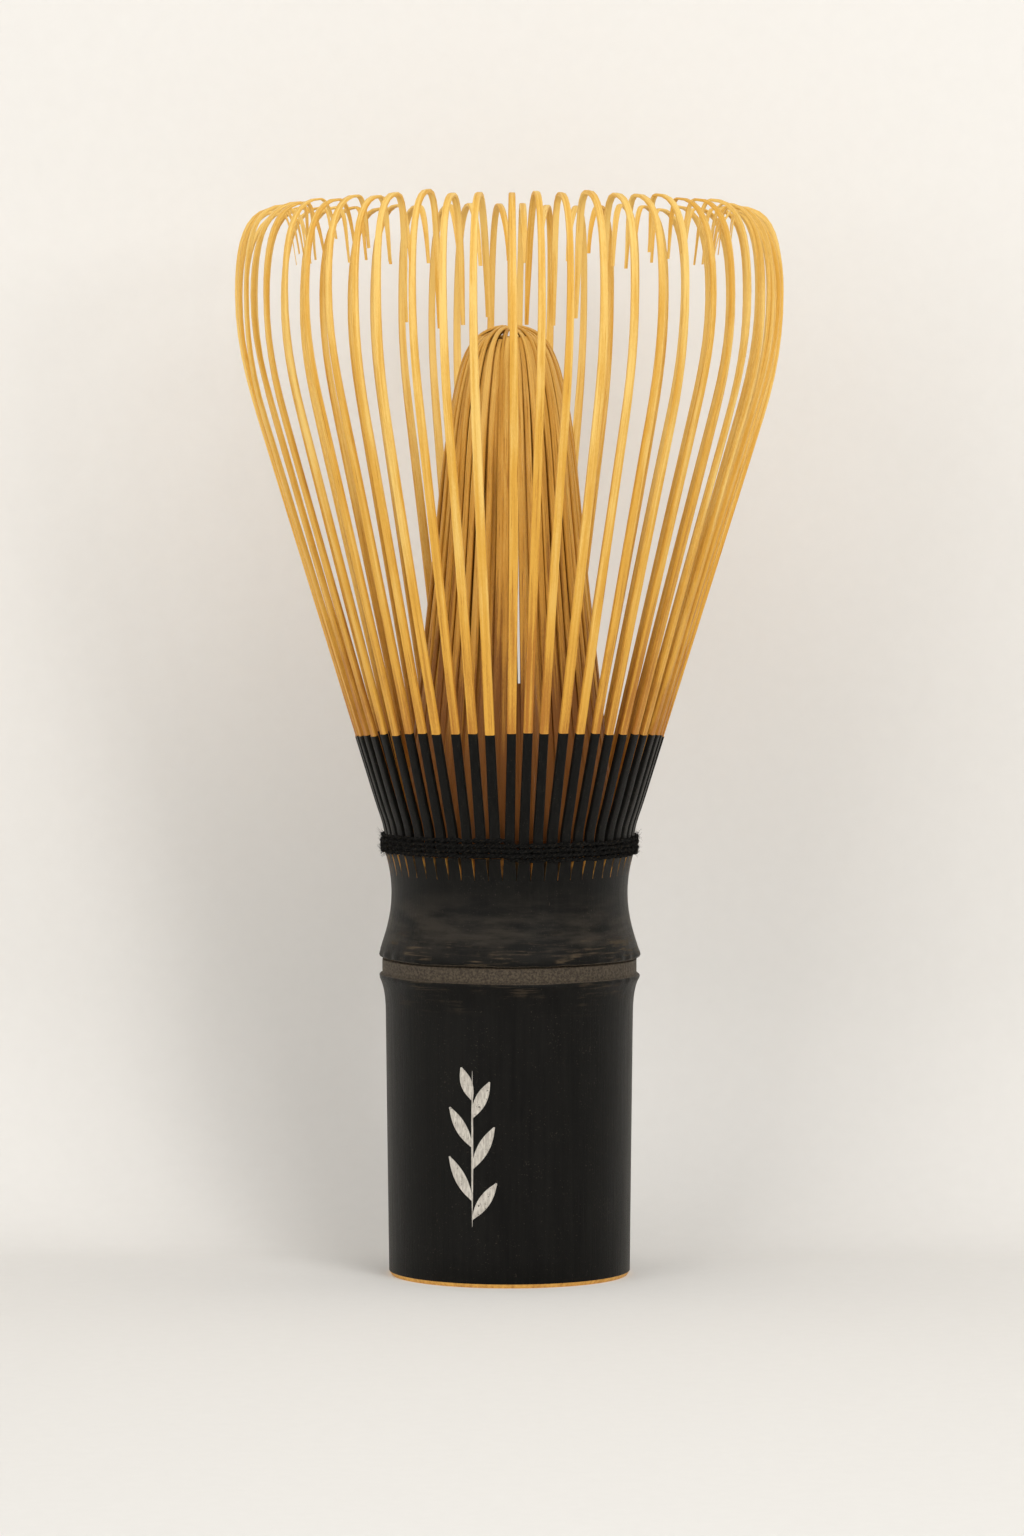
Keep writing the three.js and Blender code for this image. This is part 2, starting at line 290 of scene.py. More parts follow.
def bend(start, leave, end, arrive, reach, steps):
    """Points after `start` on a smooth bend that leaves and arrives in the given directions."""
    distance = (end - start).length
    first = start + leave * distance * reach[0]
    second = end - arrive * distance * reach[1]
    knots = (point.to_3d() for point in (start, first, second, end))
    curve = interpolate_bezier(*knots, steps + 1)
    return [point.to_2d() for point in curve[1:]]


def straight(start, end, steps):
    return [start.lerp(end, step / steps) for step in range(1, steps + 1)]


def lengths_along(line):
    total = 0.0
    lengths = [0.0]
    for before, after in zip(line, line[1:]):
        total += (after - before).length
        lengths.append(total)
    return lengths


def shares_along(line):
    lengths = lengths_along(line)
    return [length / lengths[-1] for length in lengths]


def shared_out(share, stops):
    """The value at `share` of the way, between the (share, value) stops."""
    for (low, low_value), (high, high_value) in zip(stops, stops[1:]):
        if share <= high:
            part = max(share - low, 0.0) / (high - low)
            part = part * part * (3 - 2 * part)
            return low_value + (high_value - low_value) * part
    return stops[-1][1]


def long_edges(bm):
    return [edge for edge in bm.edges if abs(edge.verts[0].co.z - edge.verts[1].co.z) > 0.5]


def strip_template(rings, edge_rounding, skin_rings=0):
    """A strip one unit wide, thick and long, with rounded edges and a ring of points at each step.
    Faces on its outer side that lie below `skin_rings` take the second material."""
    bm = bmesh.new()
    bmesh.ops.create_cube(bm, size=1.0)
    bmesh.ops.bevel(bm, geom=long_edges(bm), offset=edge_rounding, offset_type='OFFSET',
                    affect='EDGES', segments=2, profile=0.5, material=-1)
    bmesh.ops.subdivide_edges(bm, edges=long_edges(bm), cuts=rings - 2, use_grid_fill=True)
    skin_top = skin_rings / (rings - 1) - 0.5
    for face in bm.faces:
        centre = face.calc_center_median()
        face.smooth = True
        face.material_index = int(centre.x > SKIN_REACH and centre.z < skin_top)
    template = bpy.data.meshes.new("strip_template")
    bm.to_mesh(template)
    bm.free()
    return template


def rod_template(rings, sides):
    bm = bmesh.new()
    bmesh.ops.create_cone(bm, cap_ends=True, segments=sides, radius1=1.0, radius2=1.0, depth=1.0)
    bmesh.ops.subdivide_edges(bm, edges=long_edges(bm), cuts=rings - 2, use_grid_fill=True)
    for face in bm.faces:
        face.smooth = True
    template = bpy.data.meshes.new("rod_template")
    bm.to_mesh(template)
    bm.free()
    return template


def add_copy(bm, template):
    """Adds the template's faces to `bm`, and returns their points."""
    before = len(bm.verts)
    bm.from_mesh(template)
    bm.verts.ensure_lookup_table()
    return bm.verts[before:]


def turn_out(verts):
    """Turns the faces round these points the other way."""
    for face in {face for vert in verts for face in vert.link_faces}:
        face.normal_flip()


def new_bmesh():
    bm = bmesh.new()
    bm.verts.layers.float_vector.new("grain")
    bm.verts.layers.float.new("tone")
    return bm


def lay_strip(bm, template, line, widths, thicknesses, azimuth, draw, drifts, shaved_from=None):
    """Lays a strip along `line`, which is drawn as (radius, height) in an upright plane."""
    grain = bm.verts.layers.float_vector["grain"]
    tone = bm.verts.layers.float["tone"]
    lengths = lengths_along(line)
    last = len(line) - 1
    radial = Vector((math.cos(azimuth), math.sin(azimuth), 0.0))
    side = Vector((-radial.y, radial.x, 0.0))
    offset = draw.uniform(0.0, 4000.0)
    strip_tone = draw.random()
    for vert in add_copy(bm, template):
        ring = round((vert.co.z + 0.5) * last)
        along = (line[min(ring + 1, last)] - line[max(ring - 1, 0)]).normalized()
        through = vert.co.x * thicknesses[ring]
        across = vert.co.y * widths[ring]
        if shaved_from is not None and ring >= shaved_from and through > 0:
            through -= SHAVED
        place = line[ring] + Vector((along.y, -along.x)) * through
        vert[grain] = (through, across, lengths[ring] + offset)
        vert[tone] = strip_tone
        vert.co = radial * place.x + side * (across + drifts[ring])
        vert.co.z = place.y


# ---------------------------------------------------------------- finishing a piece

def finish_piece(name, bm, materials, body, replaced=(), sharp_degrees=40):
    bmesh.ops.scale(bm, vec=(MM, MM, MM), verts=bm.verts)
    mesh = bpy.data.meshes.new(name)
    bm.to_mesh(mesh)
    bm.free()
    mesh.set_sharp_from_angle(angle=math.radians(sharp_degrees))
    for material in materials:
        mesh.materials.append(material)
    piece = bpy.data.objects.new(name, mesh)
    bpy.context.scene.collection.objects.link(piece)
    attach(piece, body)
    if replaced:
        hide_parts(*replaced)
    return piece


# ---------------------------------------------------------------- shader parts

def put(tree, kind, inputs=None, **settings):
    """Adds a node, with its settings and with its inputs as values or as links."""
    made = tree.nodes.new(kind)
    for name, value in settings.items():
        setattr(made, name, value)
    for name, value in (inputs or {}).items():
        if isinstance(value, bpy.types.NodeSocket):
            tree.links.new(value, made.inputs[name])
        else:
            made.inputs[name].default_value = value
    return made


def maths(tree, operation, first, second=0.0, clamp=False):
    made = put(tree, "ShaderNodeMath", {0: first, 1: second}, operation=operation, use_clamp=clamp)
    return made.outputs[0]


def stretched(tree, place, factors):
    made = put(tree, "ShaderNodeVectorMath", {0: place, 1: factors}, operation='MULTIPLY')
    return made.outputs[0]


def cloud(tree, place, scale=1.0, detail=3.0, roughness=0.55):
    inputs = {"Vector": place, "Scale": scale, "Detail": detail, "Roughness": roughness}
    return put(tree, "ShaderNodeTexNoise", inputs).outputs["Fac"]


def ramp(tree, value, low, high, low_out=0.0, high_out=1.0):
    inputs = {"Value": value, "From Min": low, "From Max": high,
              "To Min": low_out, "To Max": high_out}
    made = put(tree, "ShaderNodeMapRange", inputs, interpolation_type='SMOOTHSTEP', clamp=True)
    return made.outputs["Result"]


def mixed(tree, share, low, high):
    """A colour between two colours, each a value or a link."""
    made = put(tree, "ShaderNodeMix", {0: share, 6: low, 7: high}, data_type='RGBA')
    return made.outputs[2]


def shader_group(name, inputs, outputs):
    """An empty node group with named sockets. Each input is (socket type, name, starting value)."""
    group = bpy.data.node_groups.new(name, "ShaderNodeTree")
    for kind, label, value in inputs:
        socket = group.interface.new_socket(name=label, in_out='INPUT', socket_type=kind)
        socket.default_value = value
    for kind, label in outputs:
        group.interface.new_socket(name=label, in_out='OUTPUT', socket_type=kind)
    entry = group.nodes.new("NodeGroupInput")
    end = group.nodes.new("NodeGroupOutput")
    return group, entry.outputs, end.inputs


def make_fibre_group():
    """Fibres that run along the third direction of Place, with finer dark lines among them."""
    group, given, result = shader_group(
        "bamboo_fibre",
        [("NodeSocketVector", "Place", (0.0, 0.0, 0.0)), ("NodeSocketFloat", "Line Strength", 0.5)],
        [("NodeSocketFloat", "Shade"), ("NodeSocketFloat", "Lines"), ("NodeSocketFloat", "Height")])
    place = given["Place"]
    broad = cloud(group, stretched(group, place, (2.6, 2.6, 0.07)), detail=3.0)
    fine = cloud(group, stretched(group, place, (9.0, 9.0, 0.16)), detail=4.0, roughness=0.65)
    patch = cloud(group, stretched(group, place, (0.5, 0.5, 0.11)), detail=2.0)
    pore = cloud(group, stretched(group, place, (14.0, 14.0, 2.6)), detail=2.0)
    lines = maths(group, 'MULTIPLY', ramp(group, fine, 0.56, 0.7), given["Line Strength"])
    patchy = maths(group, 'ADD', maths(group, 'MULTIPLY', patch, 0.3),
                   maths(group, 'MULTIPLY', pore, 0.15))
    shade = maths(group, 'ADD', maths(group, 'MULTIPLY', broad, 0.55), patchy)
    height = maths(group, 'SUBTRACT', maths(group, 'ADD', fine, broad), pore)
    group.links.new(shade, result["Shade"])
    group.links.new(lines, result["Lines"])
    group.links.new(height, result["Height"])
    return group


def make_speck_group():
    """Small scattered specks, and rubbed streaks that run round the third direction of Place."""
    group, given, result = shader_group(
        "specks",
        [("NodeSocketVector", "Place", (0.0, 0.0, 0.0)), ("NodeSocketFloat", "Amount", 0.3)],
        [("NodeSocketFloat", "Specks"), ("NodeSocketFloat", "Streaks")])
    place = given["Place"]
    dots = cloud(group, stretched(group, place, (5.0, 5.0, 5.0)), detail=2.0)
    patches = cloud(group, stretched(group, place, (0.35, 0.35, 0.35)), detail=3.0)
    rubbed = cloud(group, stretched(group, place, (0.22, 0.22, 3.4)), detail=5.0, roughness=0.62)
    total = maths(group, 'ADD', dots, maths(group, 'MULTIPLY', patches, 0.25))
    limit = maths(group, 'SUBTRACT', 0.9, maths(group, 'MULTIPLY', given["Amount"], 0.25))
    specks = maths(group, 'GREATER_THAN', total, limit)
    group.links.new(specks, result["Specks"])
    worn = ramp(group, patches, 0.42, 0.62)
    streaks = maths(group, 'MULTIPLY', ramp(group, rubbed, 0.5, 0.64), worn)
    group.links.new(streaks, result["Streaks"])
    return group


fibre_group = make_fibre_group()
speck_group = make_speck_group()


def fibres(tree, place, line_strength):
    inputs = {"Place": place, "Line Strength": line_strength}
    return put(tree, "ShaderNodeGroup", node_tree=fibre_group, inputs=inputs).outputs


def speckled(tree, place, amount):
    inputs = {"Place": place, "Amount": amount}
    return put(tree, "ShaderNodeGroup", node_tree=speck_group, inputs=inputs).outputs


def new_material(name):
    """A material, its node tree and its shader."""
    material = bpy.data.materials.new(name)
    material.use_nodes = True
    tree = material.node_tree
    return material, tree, tree.nodes["Principled BSDF"]


def object_millimetres(tree):
    place = put(tree, "ShaderNodeTexCoord").outputs["Object"]
    scale = (PER_METRE, PER_METRE, PER_METRE)
    return put(tree, "ShaderNodeMapping", {"Vector": place, "Scale": scale}).outputs[0]


def height_of(tree, place):
    return put(tree, "ShaderNodeSeparateXYZ", {0: place}).outputs["Z"]


def set_bump(tree, shader, height, distance, strength=1.0):
    bump = put(tree, "ShaderNodeBump", {"Height": height, "Distance": distance * MM,
                                        "Strength": strength})
    tree.links.new(bump.outputs[0], shader.inputs["Normal"])


# ---------------------------------------------------------------- materials

def make_split_bamboo(name, deep, middle, pale, line_strength, painted_root_shade):
    """Bare split bamboo. It deepens towards the root and pales over the crown: partly its own colour,
    partly painted shade low down among the crowded strips and painted light over the crown.
    """
    material, tree, shader = new_material(name)
    grain = put(tree, "ShaderNodeAttribute", attribute_name="grain").outputs["Vector"]
    tone = put(tree, "ShaderNodeAttribute", attribute_name="tone").outputs["Fac"]
    found = fibres(tree, grain, line_strength)
    height = height_of(tree, object_millimetres(tree))
    # Painted light and shade by height: the first ramp pales the strips towards the crown, the second
    # darkens them near the root as painted shade where the strips crowd together
    rise = maths(tree, 'ADD', ramp(tree, height, 44.0, 110.0, 0.0, 0.4),
                 ramp(tree, height, 48.0, 76.0, painted_root_shade, 0.0))
    through = put(tree, "ShaderNodeSeparateXYZ", {0: grain}).outputs["X"]
    rise = maths(tree, 'ADD', rise, ramp(tree, through, -0.24, -0.1, 0.16, 0.0))
    shade = maths(tree, 'ADD', rise, ramp(tree, found["Shade"], 0.34, 0.66, 0.22, 0.72))
    shade = maths(tree, 'ADD', shade, maths(tree, 'MULTIPLY', tone, 0.26))
    shade = maths(tree, 'SUBTRACT', shade, maths(tree, 'MULTIPLY', found["Lines"], 0.45))
    low = mixed(tree, ramp(tree, shade, 0.2, 0.75), deep, middle)
    colour = mixed(tree, ramp(tree, shade, 0.7, 1.25), low, pale)
    tree.links.new(colour, shader.inputs["Base Color"])
    rough = ramp(tree, found["Shade"], 0.3, 0.7, 0.62, 0.48)
    tree.links.new(rough, shader.inputs["Roughness"])
    shader.inputs["Specular IOR Level"].default_value = 0.3
    shader.inputs["Coat Weight"].default_value = 0.04
    set_bump(tree, shader, found["Height"], 0.04)
    return material


def make_cut_bamboo():
    """The freshly cut, deep gold wall of the culm: the foot's rim, the bores and the slits, with painted
    shade in the slits and the top of the bore.
    """
    material, tree, shader = new_material("cut_bamboo")
    place = object_millimetres(tree)
    found = fibres(tree, place, 0.6)
    shade = maths(tree, 'SUBTRACT', found["Shade"], maths(tree, 'MULTIPLY', found["Lines"], 0.3))
    gold = mixed(tree, ramp(tree, shade, 0.2, 0.65), CUT_DEEP, CUT_GOLD)
    # Patchy near-black on the cut walls above the waist: painted shade down in the slits and the top of
    # the bore
    slit_shade = ramp(tree, cloud(tree, place, scale=0.55, detail=2.0), 0.42, 0.6, 0.0, 0.85)
    slit_shade = maths(tree, 'MULTIPLY', slit_shade, ramp(tree, height_of(tree, place), 39.0, 41.5))
    colour = mixed(tree, slit_shade, gold, PAINTED_SLIT_SHADE)
    tree.links.new(colour, shader.inputs["Base Color"])
    tree.links.new(ramp(tree, shade, 0.2, 0.7, 0.75, 0.55), shader.inputs["Roughness"])
    set_bump(tree, shader, found["Height"], 0.04)
    return material


def make_smoked_skin():
    """The black, satin skin of the culm, rubbed brown in streaks next to the node ring, with a painted
    sheen on the waist above the lip.
    """
    material, tree, shader = new_material("smoked_skin")
    place = object_millimetres(tree)
    found = fibres(tree, place, 0.4)
    marks = speckled(tree, place, 0.35)
    height = height_of(tree, place)
    above_lip = maths(tree, 'MULTIPLY', ramp(tree, height, 33.2, 33.9),
                      ramp(tree, height, 34.0, 37.6, 1.0, 0.0))
    below_ridge = maths(tree, 'MULTIPLY', ramp(tree, height, 31.9, 31.4),
                        ramp(tree, height, 27.5, 31.5))
    near_node = maths(tree, 'MAXIMUM', above_lip, maths(tree, 'MULTIPLY', below_ridge, 0.5))
    rubbed = maths(tree, 'MULTIPLY', near_node, marks["Streaks"])
    black = mixed(tree, ramp(tree, found["Shade"], 0.25, 0.75), SKIN_DARKEST, SKIN_BLACK)
    # A soft, streaky lighter band on the waist above the lip: a painted sheen standing in for the
    # light's highlight there
    waist_sheen = maths(tree, 'MULTIPLY', ramp(tree, height, 33.6, 36.0),
                 ramp(tree, height, 36.5, 42.5, 1.0, 0.0))
    sheen_streaks = cloud(tree, stretched(tree, place, (0.16, 0.16, 0.75)), detail=5.0, roughness=0.6)
    waist_sheen = maths(tree, 'MULTIPLY', waist_sheen, ramp(tree, sheen_streaks, 0.36, 0.66))
    black = mixed(tree, waist_sheen, black, PAINTED_WAIST_SHEEN)
    dusty = mixed(tree, maths(tree, 'MULTIPLY', marks["Specks"], 0.5), black, SKIN_DUST)
    colour = mixed(tree, maths(tree, 'MULTIPLY', rubbed, 0.85), dusty, RUBBED_BROWN)
    tree.links.new(colour, shader.inputs["Base Color"])
    rough = maths(tree, 'ADD', ramp(tree, found["Shade"], 0.3, 0.7, 0.42, 0.54),
                  maths(tree, 'MULTIPLY', rubbed, 0.3))
    tree.links.new(rough, shader.inputs["Roughness"])
    shader.inputs["Specular IOR Level"].default_value = 0.1
    shader.inputs["Sheen Weight"].default_value = 0.06
    shader.inputs["Sheen Roughness"].default_value = 0.35
    shader.inputs["Sheen Tint"].default_value = (1.0, 0.9, 0.75, 1)
    set_bump(tree, shader, found["Height"], 0.018)
    return material


def make_node_scar():
    """The matt band between the two ridges, where the sheath was trimmed off."""
    material, tree, shader = new_material("node_scar")
    place = object_millimetres(tree)
    marks = speckled(tree, place, 0.5)
    grit = cloud(tree, place, scale=4.0, detail=5.0, roughness=0.7)
    base = mixed(tree, ramp(tree, grit, 0.35, 0.65), SCAR_DARK, SCAR_PALE)
    colour = mixed(tree, maths(tree, 'MULTIPLY', marks["Specks"], 0.6), base, SCAR_SPECK)
    tree.links.new(colour, shader.inputs["Base Color"])
    tree.links.new(ramp(tree, grit, 0.3, 0.7, 0.9, 0.7), shader.inputs["Roughness"])
    set_bump(tree, shader, grit, 0.05)
    return material


def make_black_thread():
    """Dull black thread, with a little lint in it."""
    material, tree, shader = new_material("black_thread")
    place = object_millimetres(tree)
    marks = speckled(tree, place, 0.55)
    hairs = cloud(tree, stretched(tree, place, (9.0, 9.0, 3.0)), detail=4.0, roughness=0.7)
    black = mixed(tree, ramp(tree, hairs, 0.35, 0.7), THREAD_DARKEST, THREAD_BLACK)
    colour = mixed(tree, maths(tree, 'MULTIPLY', marks["Specks"], 0.5), black, THREAD_LINT)
    tree.links.new(colour, shader.inputs["Base Color"])
    tree.links.new(ramp(tree, hairs, 0.3, 0.7, 0.95, 0.8), shader.inputs["Roughness"])
    shader.inputs["Specular IOR Level"].default_value = 0.1
    set_bump(tree, shader, hairs, 0.06)
    return material


def make_silver_paint():
    """Brushed silver paint, worn through in places."""
    material, tree, shader = new_material("silver_paint")
    place = object_millimetres(tree)
    brushed = cloud(tree, stretched(tree, place, (6.0, 6.0, 1.4)), detail=4.0)
    worn = cloud(tree, place, scale=3.0, detail=5.0, roughness=0.75)
    silver = mixed(tree, ramp(tree, brushed, 0.3, 0.7), PAINT_DARK, PAINT_PALE)
    colour = mixed(tree, ramp(tree, worn, 0.58, 0.68), silver, PAINT_WORN)
    tree.links.new(colour, shader.inputs["Base Color"])
    tree.links.new(ramp(tree, brushed, 0.3, 0.7, 0.5, 0.65), shader.inputs["Roughness"])
    shader.inputs["Metallic"].default_value = 0.25
    set_bump(tree, shader, brushed, 0.02)
    return material


def make_studio_paper():
    """Pale paper. Its back lets the light and the view through."""
    material, tree, shader = new_material("studio_paper")
    place = object_millimetres(tree)
    tooth = cloud(tree, place, scale=0.6, detail=4.0)
    colour = mixed(tree, tooth, PAPER_LOW, PAPER_HIGH)
    tree.links.new(colour, shader.inputs["Base Color"])
    shader.inputs["Roughness"].default_value = 0.9
    shader.inputs["Specular IOR Level"].default_value = 0.1
    back = put(tree, "ShaderNodeNewGeometry").outputs["Backfacing"]
    clear = put(tree, "ShaderNodeBsdfTransparent").outputs[0]
    mix = put(tree, "ShaderNodeMixShader", {0: back, 1: shader.outputs[0], 2: clear})
    tree.links.new(mix.outputs[0], tree.nodes["Material Output"].inputs["Surface"])
    return material


split_bamboo = make_split_bamboo("split_bamboo", OUTER_DEEP, OUTER_GOLD, OUTER_PALE, 0.9, -0.34)
# The inner copy is a darker, shaded copy of the split bamboo, with deeper painted shade at the root
inner_bamboo_shaded = make_split_bamboo("inner_bamboo_shaded", INNER_DEEP, INNER_GOLD, INNER_PALE, 1.1, -0.62)
cut_bamboo = make_cut_bamboo()
smoked_skin = make_smoked_skin()
node_scar = make_node_scar()
black_thread = make_black_thread()
silver_paint = make_silver_paint()
studio_paper = make_studio_paper()


# ---------------------------------------------------------------- handle

def outside_line():
    """The handle's outside, from the foot to where the slits end."""
    ridge = Vector((RIDGE_RADIUS, RIDGE_HEIGHT))
    groove_foot = Vector((GROOVE_RADIUS, GROOVE_FOOT))
    groove_head = Vector((GROOVE_RADIUS, GROOVE_HEAD - 0.2))
    notch = Vector((GROOVE_RADIUS - NOTCH_DEPTH, GROOVE_HEAD))
    lip = Vector((LIP_RADIUS, LIP_HEIGHT))
    waist = Vector((WAIST_RADIUS, WAIST_HEIGHT))
    split = Vector((SPLIT_RADIUS, handle_top))
    outward = Vector((1.0, 0.0))
    line = [Vector((FOOT_RADIUS - FOOT_RIM_INSET, 0.0)), Vector((FOOT_RADIUS, FOOT_RIM))]
    line += straight(line[-1], Vector((GRIP_RADIUS, GRIP_HEIGHT)), 9)
    line += bend(line[-1], leaning(0), ridge, leaning(0.6), (0.5, 0.2), 6)
    line += bend(ridge, leaning(0.4), groove_foot, -outward, (0.6, 0.3), 4)
    line += straight(groove_foot, groove_head, 3)
    line += straight(groove_head, notch, 1)
    line += bend(notch, outward, lip, leaning(0), (0.6, 0.4), 4)
    line += bend(lip, leaning(0), waist, leaning(0), (0.12, 0.5), 10)
    flare = bend(waist, leaning(0), split, leaning(0.3), (0.35, 0.35), 12)
    line += [point for point in flare if point.y < slit_foot - 0.15]
    share = (slit_foot - WAIST_HEIGHT) / (handle_top - WAIST_HEIGHT)
    line.append(Vector((radius_in_flare(share), slit_foot)))
    return line


def radius_in_flare(share):
    return WAIST_RADIUS + (SPLIT_RADIUS - WAIST_RADIUS) * share * share


def hollow_line():
    """The bore above the node, and the bore and the domed wall below it."""
    above = [Vector((SLIT_BACK, slit_foot)), Vector((TOP_BORE, slit_foot)),
             Vector((TOP_BORE, NODE_WALL_HIGH + 1.0)), Vector((TOP_BORE - 1.0, NODE_WALL_HIGH)),
             Vector((0.0, NODE_WALL_HIGH - NODE_WALL_DOME))]
    below = [Vector((0.0, NODE_WALL_LOW - NODE_WALL_DOME)), Vector((FOOT_BORE - 1.2, NODE_WALL_LOW)),
             Vector((FOOT_BORE, NODE_WALL_LOW - 1.2)), Vector((FOOT_BORE, 0.0))]
    return above, below


def in_slit_column(place):
    """Whether a point lies in the last of a tine's columns round the handle, which is its slit."""
    turn = (math.atan2(place.y, place.x) - first_column) % FULL_TURN
    return int(turn / tine_pitch * COLUMNS_PER_TINE) % COLUMNS_PER_TINE == COLUMNS_PER_TINE - 1


def turn_profile(bm, line, steps):
    """Turns a line of (radius, height) points into a body, with its poles and its seam closed."""
    turn = Matrix.Rotation(first_column, 3, 'Z')
    verts = [bm.verts.new(turn @ Vector((point.x, 0.0, point.y))) for point in line]
    edges = [bm.edges.new(pair) for pair in zip(verts, verts[1:])]
    bmesh.ops.spin(bm, geom=verts + edges, cent=(0, 0, 0), axis=(0, 0, 1), dvec=(0, 0, 0),
                   angle=FULL_TURN, steps=steps, use_merge=True, use_duplicate=False)
    bmesh.ops.remove_doubles(bm, verts=bm.verts, dist=1e-4)
    bmesh.ops.recalc_face_normals(bm, faces=bm.faces)


def slit_share(height):
    """How wide a slit's column is at a height, as a share of its even width."""
    if height < slit_foot:
        return shared_out((height - WAIST_HEIGHT) / (slit_foot - WAIST_HEIGHT),
                          [(0.0, 1.0), (1.0, SLIT_FOOT_SHARE)])
    return shared_out((height - slit_foot) / SLIT_DEPTH,
                      [(0.0, SLIT_FOOT_SHARE), (1.0, SLIT_TOP_SHARE)])


def gather_to_slit(vert):
    """Moves a point on the edge of a slit's column towards or away from the slit's middle."""
    azimuth = math.atan2(vert.co.y, vert.co.x)
    from_middle = (azimuth - FRONT - tine_pitch / 2) % tine_pitch
    if from_middle > tine_pitch / 2:
        from_middle -= tine_pitch
    even = tine_pitch / COLUMNS_PER_TINE / 2
    if abs(abs(from_middle) - even) < even * SLIT_EDGE_SPAN:
        turn = from_middle * (slit_share(vert.co.z) - 1.0)
        vert.co = Matrix.Rotation(turn, 3, 'Z') @ vert.co


def raise_fingers(bm):
    """Carries the handle's wall up between the slits, to where the tines stand on it."""
    top = [face for face in bm.faces
           if face.normal.z > 0.9 and abs(face.calc_center_median().z - slit_foot) < 1e-3]
    fingers = [face for face in top
               if not in_slit_column(face.calc_center_median())
               or face.calc_center_median().to_2d().length < SLIT_BACK]
    for level in range(1, SLIT_LEVELS + 1):
        height = slit_foot + SLIT_DEPTH * level / SLIT_LEVELS
        grown = bmesh.ops.extrude_face_region(bm, geom=fingers)["geom"]
        bmesh.ops.delete(bm, geom=fingers, context='FACES_ONLY')
        fingers = [item for item in grown if isinstance(item, bmesh.types.BMFace)]
        share = (height - WAIST_HEIGHT) / (handle_top - WAIST_HEIGHT)
        for vert in (item for item in grown if isinstance(item, bmesh.types.BMVert)):
            radius = vert.co.to_2d().length
            if radius > SLIT_BACK + 0.2:
                vert.co.xy = vert.co.xy.normalized() * radius_in_flare(share)
            vert.co.z = height
    bm.normal_update()


def stretched_place(place):
    return Vector((place.x, place.y, place.z * LENGTHWISE_STRETCH))


def swell_at(place):
    """How far the unevenness of a grown culm moves its skin outward."""
    return UNEVENNESS * noise.noise(stretched_place(place) * SWELL_SCALE + CULM_START)


def nearness(height, edge):
    return max(0.0, 1.0 - abs(height - edge) / EDGE_REACH)


def roughen_handle(bm):
    """The small unevenness of a grown and hand-trimmed culm, and its ragged lip."""
    for vert in bm.verts:
        radius = vert.co.to_2d().length
        if radius < SKIN_LEAST_RADIUS:
            continue
        around = stretched_place(vert.co)
        near_lip = nearness(vert.co.z, LIP_HEIGHT)
        near_ridge = nearness(vert.co.z, RIDGE_HEIGHT + RIDGE_EDGE_RISE)
        ragged = noise.noise(around * RAGGED_SCALE + CULM_START)
        wavy = noise.noise(around * WAVY_SCALE - CULM_START)
        swell = swell_at(vert.co) + (near_lip * LIP_RAGGED + near_ridge * RIDGE_RAGGED) * ragged
        vert.co.xy *= (radius + swell) / radius
        vert.co.z += near_lip * (LIP_WAVE * wavy + LIP_BURR * ragged) + near_ridge * RIDGE_WAVE * wavy


def colour_handle(bm):
    """Skin outside, bare cut bamboo on the rim, in the bores and in the slits, and the node's scar."""
    for face in bm.faces:
        centre = face.calc_center_median()
        radius = centre.to_2d().length
        outward = face.normal.to_2d().dot(centre.to_2d().normalized())
        face.smooth = True
        face.material_index = 0
        if outward < 0.35 and (radius < GROOVE_RADIUS - 0.4 or centre.z > WAIST_HEIGHT):
            face.material_index = 1
        if centre.z < FOOT_RIM or radius < TOP_BORE + 1.0:
            face.material_index = 1
        if centre.z > WAIST_HEIGHT and radius < SLIT_BACK + 0.1:
            face.material_index = 1
        if GROOVE_FOOT - 0.1 < centre.z < GROOVE_HEAD + 0.1 and radius > TOP_BORE + 1.0:
            face.material_index = 2


def make_handle():
    bm = new_bmesh()
    above, below = hollow_line()
    line = below + outside_line() + above
    turn_profile(bm, line, len(OUTER_TINES) * COLUMNS_PER_TINE)
    raise_fingers(bm)
    colour_handle(bm)
    for vert in bm.verts:
        if vert.co.z > WAIST_HEIGHT:
            gather_to_slit(vert)
    roughen_handle(bm)
    finish_piece("smoked_handle", bm, [smoked_skin, cut_bamboo, node_scar], "handle",
                 ["handle_culm"], 35)


# ---------------------------------------------------------------- painted sprig

def brush_stroke(bm, foot, length, width, lean):
    """A thin stroke of paint on the handle's front, pointed at both ends."""
    made = bmesh.ops.create_grid(bm, x_segments=4, y_segments=12, size=1.0)["verts"]
    turn = Matrix.Rotation(-math.radians(lean), 2)
    for vert in made:
        share = (vert.co.y + 1) / 2
        half = width / 2 * math.sin(math.pi * min(max(share, 0.02), 0.98)) ** 0.8
        across, up = turn @ Vector((vert.co.x * half, share * length))
        height = foot.y + up
        radius = FOOT_RADIUS + (GRIP_RADIUS - FOOT_RADIUS) * height / GRIP_HEIGHT
        azimuth = FRONT + (foot.x + across) / radius
        skin = Vector((math.cos(azimuth), math.sin(azimuth), 0.0)) * radius
        skin.z = height
        skin.xy *= (radius + swell_at(skin) + PAINT_LIFT) / radius
        vert.co = skin


